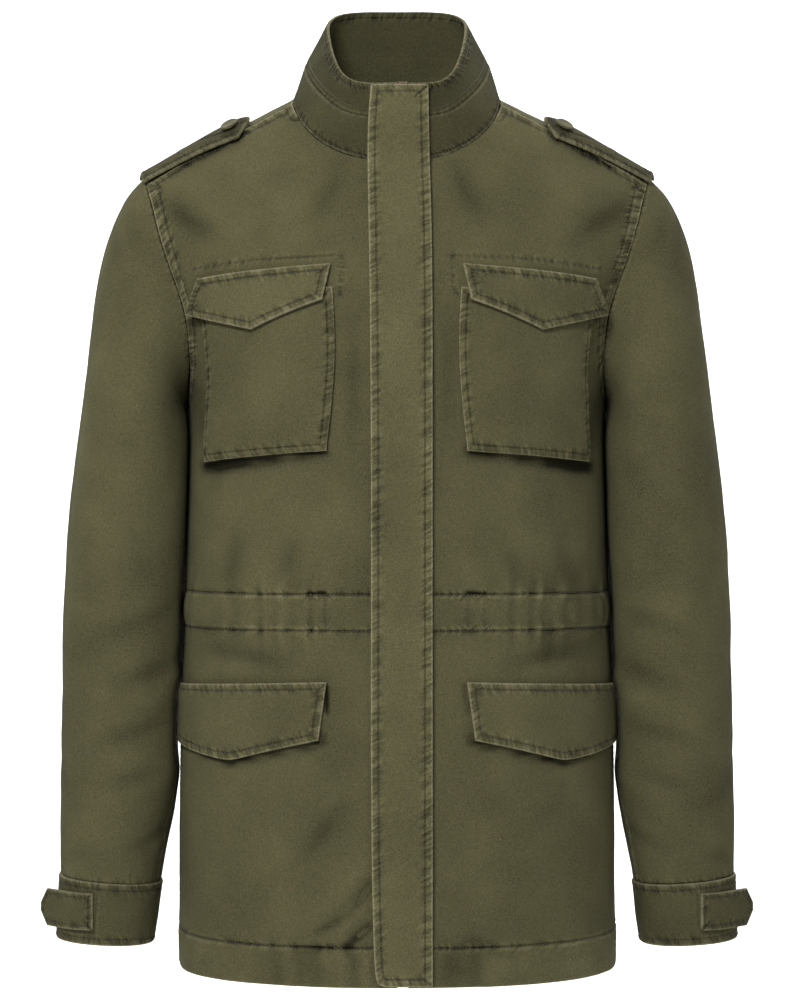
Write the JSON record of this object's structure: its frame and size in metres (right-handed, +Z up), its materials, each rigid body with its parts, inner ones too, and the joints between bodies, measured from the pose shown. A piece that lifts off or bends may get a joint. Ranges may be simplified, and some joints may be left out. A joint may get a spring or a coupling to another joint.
{
  "type": "safari jacket",
  "caption": "Closed field jacket of olive cotton twill with a standing collar, shoulder straps, flap pockets and a drawn waist, filled out as if worn.",
  "frame": {"origin": "middle of the neck opening, level with the tops of the shoulders, where the wearer holds the jacket", "axes": "+Z up, +X towards the wearer's left, -Y towards the front"},
  "size_m": [0.6086, 0.272, 0.827],
  "materials": {
    "twill": "matt, washed olive cotton twill",
    "zip_tape": "matt woven tape",
    "button_plastic": "satin",
    "dark_brass": "antique"
  },
  "bodies": {
    "root": {"back": "twill", "front_right": "twill", "front_left": "twill", "sleeve_right": "twill", "sleeve_left": "twill", "cuff_right": "twill", "cuff_left": "twill", "cuff_tab_right": "twill", "cuff_tab_left": "twill", "epaulette_right": "twill", "epaulette_left": "twill", "epaulette_button_right": "button_plastic", "epaulette_button_left": "button_plastic", "chest_pocket_right": "twill", "chest_pocket_left": "twill", "chest_flap_right": "twill", "chest_flap_left": "twill", "hip_flap_right": "twill", "hip_flap_left": "twill", "collar_band": "twill", "collar_stand": "twill", "placket": "twill", "zip_tape_right": "zip_tape", "zip_tape_left": "zip_tape", "zip_slider": "dark_brass", "zip_pull": "dark_brass"}
  },
  "joints": []
}
